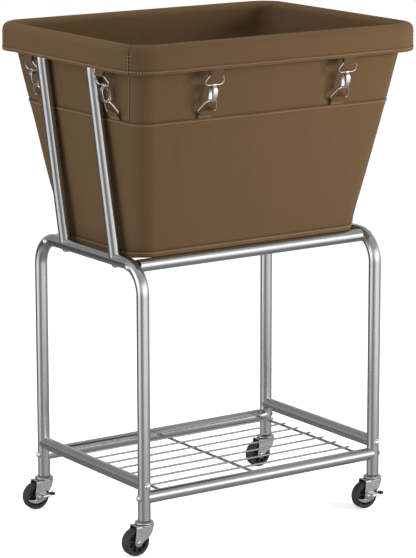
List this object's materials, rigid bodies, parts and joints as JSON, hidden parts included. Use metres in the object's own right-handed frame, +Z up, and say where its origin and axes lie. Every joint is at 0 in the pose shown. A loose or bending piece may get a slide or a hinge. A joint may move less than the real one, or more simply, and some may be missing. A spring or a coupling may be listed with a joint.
{
  "type": "laundry sorter on wheels",
  "caption": "Tapered canvas laundry hamper with a cuffed rim, snapped onto a tube frame with a wire shelf and four swivel casters.",
  "frame": {"origin": "on the floor, below the middle of the frame and the bag", "axes": "+Z up, +X along the long side, -Y the front with the two snap hooks; the casters trail towards -X"},
  "size_m": [0.6502, 0.4996, 0.9528],
  "materials": {
    "tube": "satin silver finish on bent steel tube",
    "wire": "satin plated wire, welded",
    "zinc": "bright zinc plated stamped sheet",
    "nickel": "polished nickel",
    "tyre": "matt black moulded wheel and tread",
    "canvas": "brown heavy canvas with top stitching",
    "board": "stiff panel covered in brown cloth"
  },
  "bodies": {
    "root": {"left_end_frame": "tube", "left_rim_tube": "tube", "left_lower_rail": "tube", "right_end_frame": "tube", "right_rim_tube": "tube", "right_lower_rail": "tube", "front_lower_rail": "tube", "front_top_rail": "tube", "back_lower_rail": "tube", "back_top_rail": "tube", "front_left_post": "tube", "front_right_post": "tube", "back_left_post": "tube", "back_right_post": "tube", "wire_shelf": "wire", "canvas_bag": "canvas", "floor_board": "board", "front_left_caster_stem": "zinc", "front_right_caster_stem": "zinc", "back_left_caster_stem": "zinc", "back_right_caster_stem": "zinc", "front_1_hook_eye": "nickel", "front_1_snap_hook": "nickel", "front_2_hook_eye": "nickel", "front_2_snap_hook": "nickel", "back_1_hook_eye": "nickel", "back_1_snap_hook": "nickel", "back_2_hook_eye": "nickel", "back_2_snap_hook": "nickel", "left_1_hook_eye": "nickel", "left_1_snap_hook": "nickel", "left_2_hook_eye": "nickel", "left_2_snap_hook": "nickel", "right_1_hook_eye": "nickel", "right_1_snap_hook": "nickel", "right_2_hook_eye": "nickel", "right_2_snap_hook": "nickel"},
    "front_left_fork": {"front_left_caster_fork": "zinc", "front_left_caster_axle": "zinc"},
    "front_left_wheel": {"front_left_caster_wheel": "tyre"},
    "front_right_fork": {"front_right_caster_fork": "zinc", "front_right_caster_axle": "zinc"},
    "front_right_wheel": {"front_right_caster_wheel": "tyre"},
    "front_right_brake": {"front_right_brake_lever": "nickel"},
    "back_left_fork": {"back_left_caster_fork": "zinc", "back_left_caster_axle": "zinc"},
    "back_left_wheel": {"back_left_caster_wheel": "tyre"},
    "back_left_brake": {"back_left_brake_lever": "nickel"},
    "back_right_fork": {"back_right_caster_fork": "zinc", "back_right_caster_axle": "zinc"},
    "back_right_wheel": {"back_right_caster_wheel": "tyre"},
    "front_1_gate": {"front_1_snap_gate": "nickel"},
    "front_2_gate": {"front_2_snap_gate": "nickel"},
    "back_1_gate": {"back_1_snap_gate": "nickel"},
    "back_2_gate": {"back_2_snap_gate": "nickel"},
    "left_1_gate": {"left_1_snap_gate": "nickel"},
    "left_2_gate": {"left_2_snap_gate": "nickel"},
    "right_1_gate": {"right_1_snap_gate": "nickel"},
    "right_2_gate": {"right_2_snap_gate": "nickel"}
  },
  "joints": [
    {"name": "front_left_swivel", "type": "hinge", "parent": "root", "child": "front_left_fork", "pos_m": [-0.2658, -0.1796, 0.0585], "axis": [0, 0, 1], "continuous": true},
    {"name": "front_left_roll", "type": "hinge", "parent": "front_left_fork", "child": "front_left_wheel", "pos_m": [-0.2857, -0.1796, 0.0265], "axis": [0, 1, 0], "continuous": true},
    {"name": "front_right_swivel", "type": "hinge", "parent": "root", "child": "front_right_fork", "pos_m": [0.2658, -0.1796, 0.0585], "axis": [0, 0, 1], "continuous": true},
    {"name": "front_right_roll", "type": "hinge", "parent": "front_right_fork", "child": "front_right_wheel", "pos_m": [0.2459, -0.1796, 0.0265], "axis": [0, 1, 0], "continuous": true},
    {"name": "front_right_brake_press", "type": "hinge", "parent": "front_right_fork", "child": "front_right_brake", "pos_m": [0.2459, -0.1796, 0.0265], "axis": [0, 1, 0], "range_deg": [0, 25]},
    {"name": "back_left_swivel", "type": "hinge", "parent": "root", "child": "back_left_fork", "pos_m": [-0.2658, 0.1796, 0.0585], "axis": [0, 0, 1], "continuous": true},
    {"name": "back_left_roll", "type": "hinge", "parent": "back_left_fork", "child": "back_left_wheel", "pos_m": [-0.2857, 0.1796, 0.0265], "axis": [0, 1, 0], "continuous": true},
    {"name": "back_left_brake_press", "type": "hinge", "parent": "back_left_fork", "child": "back_left_brake", "pos_m": [-0.2857, 0.1796, 0.0265], "axis": [0, 1, 0], "range_deg": [0, 25]},
    {"name": "back_right_swivel", "type": "hinge", "parent": "root", "child": "back_right_fork", "pos_m": [0.2658, 0.1796, 0.0585], "axis": [0, 0, 1], "continuous": true},
    {"name": "back_right_roll", "type": "hinge", "parent": "back_right_fork", "child": "back_right_wheel", "pos_m": [0.2459, 0.1796, 0.0265], "axis": [0, 1, 0], "continuous": true},
    {"name": "front_1_gate_open", "type": "hinge", "parent": "root", "child": "front_1_gate", "pos_m": [-0.149, -0.23233, 0.86525], "axis": [-1, 0, 0], "range_deg": [0, 22], "stiffness_Nm_per_rad": 0.01, "springref_deg": -11.46},
    {"name": "front_2_gate_open", "type": "hinge", "parent": "root", "child": "front_2_gate", "pos_m": [0.149, -0.23233, 0.86525], "axis": [-1, 0, 0], "range_deg": [0, 22], "stiffness_Nm_per_rad": 0.01, "springref_deg": -11.46},
    {"name": "back_1_gate_open", "type": "hinge", "parent": "root", "child": "back_1_gate", "pos_m": [-0.149, 0.23233, 0.86525], "axis": [1, 0, 0], "range_deg": [0, 22], "stiffness_Nm_per_rad": 0.01, "springref_deg": -11.46},
    {"name": "back_2_gate_open", "type": "hinge", "parent": "root", "child": "back_2_gate", "pos_m": [0.149, 0.23233, 0.86525], "axis": [1, 0, 0], "range_deg": [0, 22], "stiffness_Nm_per_rad": 0.01, "springref_deg": -11.46},
    {"name": "left_1_gate_open", "type": "hinge", "parent": "root", "child": "left_1_gate", "pos_m": [-0.30763, -0.129, 0.86525], "axis": [0, 1, 0], "range_deg": [0, 22], "stiffness_Nm_per_rad": 0.01, "springref_deg": -11.46},
    {"name": "left_2_gate_open", "type": "hinge", "parent": "root", "child": "left_2_gate", "pos_m": [-0.30763, 0.12, 0.86525], "axis": [0, 1, 0], "range_deg": [0, 22], "stiffness_Nm_per_rad": 0.01, "springref_deg": -11.46},
    {"name": "right_1_gate_open", "type": "hinge", "parent": "root", "child": "right_1_gate", "pos_m": [0.30763, -0.129, 0.86525], "axis": [0, -1, 0], "range_deg": [0, 22], "stiffness_Nm_per_rad": 0.01, "springref_deg": -11.46},
    {"name": "right_2_gate_open", "type": "hinge", "parent": "root", "child": "right_2_gate", "pos_m": [0.30763, 0.12, 0.86525], "axis": [0, -1, 0], "range_deg": [0, 22], "stiffness_Nm_per_rad": 0.01, "springref_deg": -11.46}
  ]
}
